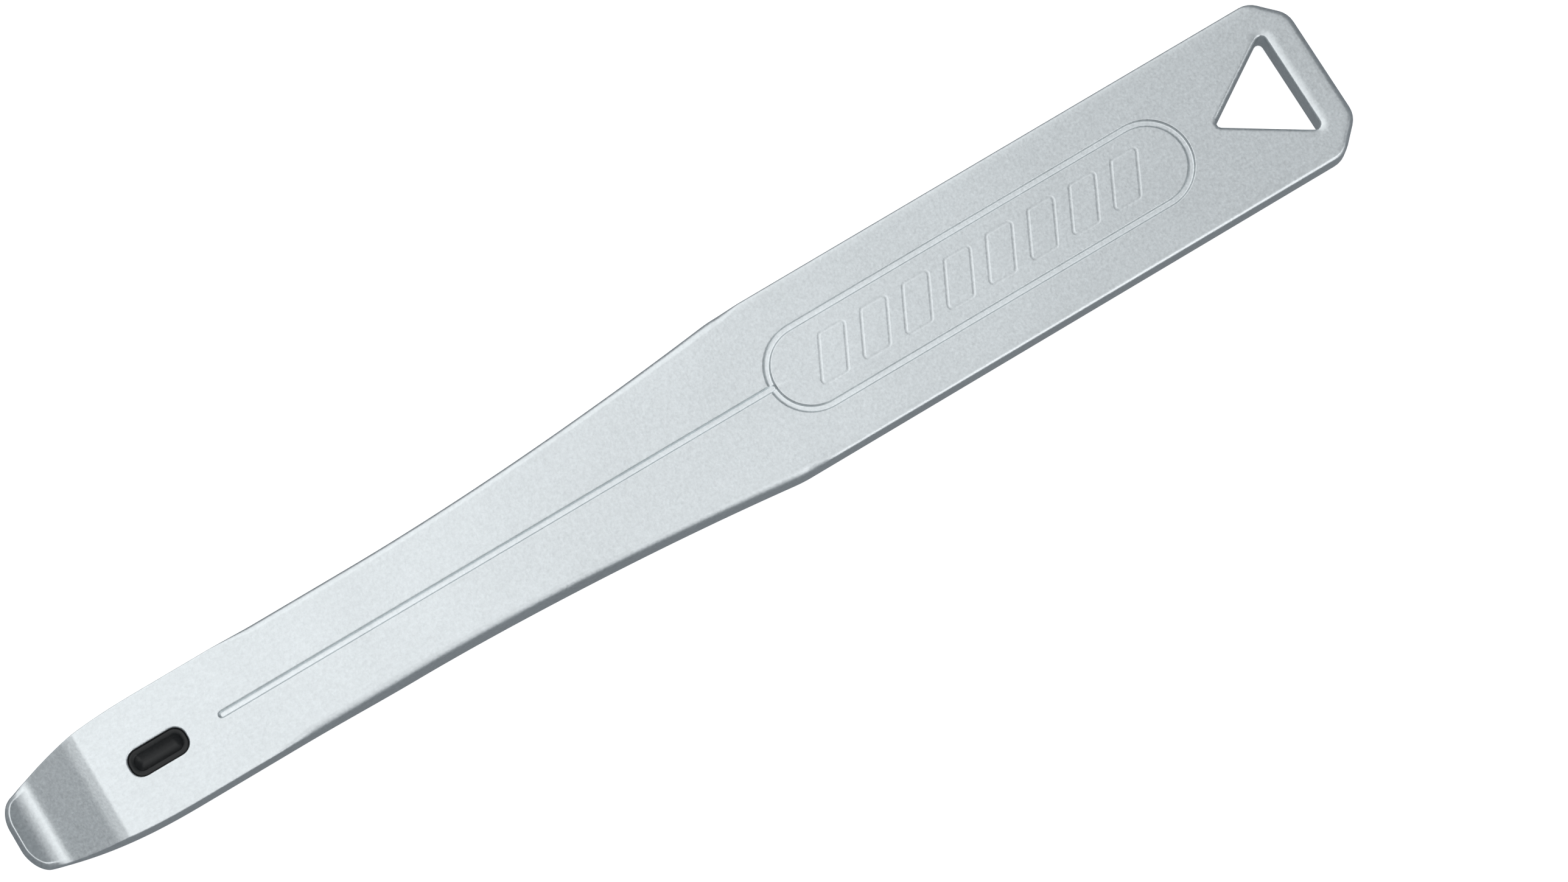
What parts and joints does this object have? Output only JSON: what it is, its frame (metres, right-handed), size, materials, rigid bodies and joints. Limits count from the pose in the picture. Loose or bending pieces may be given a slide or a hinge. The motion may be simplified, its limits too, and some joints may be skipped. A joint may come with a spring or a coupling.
{
  "type": "tyre lever",
  "caption": "Forged metal tyre lever: flat tapered blade with a hooked scoop tip, polymer rim pad locked through a slot, engraved grip panel and triangular hanging eye.",
  "frame": {"origin": "centre of the bounding box in plan, at the height of the lowest point of the neck's underside", "axes": "+X from the hooked tip towards the head with the hanging eye, +Z out of the engraved top face"},
  "size_m": [0.1512, 0.0186, 0.0044],
  "materials": {
    "satin_metal": "satin, fine blasted grain",
    "pad_polymer": "matte"
  },
  "bodies": {
    "root": {"lever_body": "satin_metal", "rim_pad": "pad_polymer"}
  },
  "joints": []
}
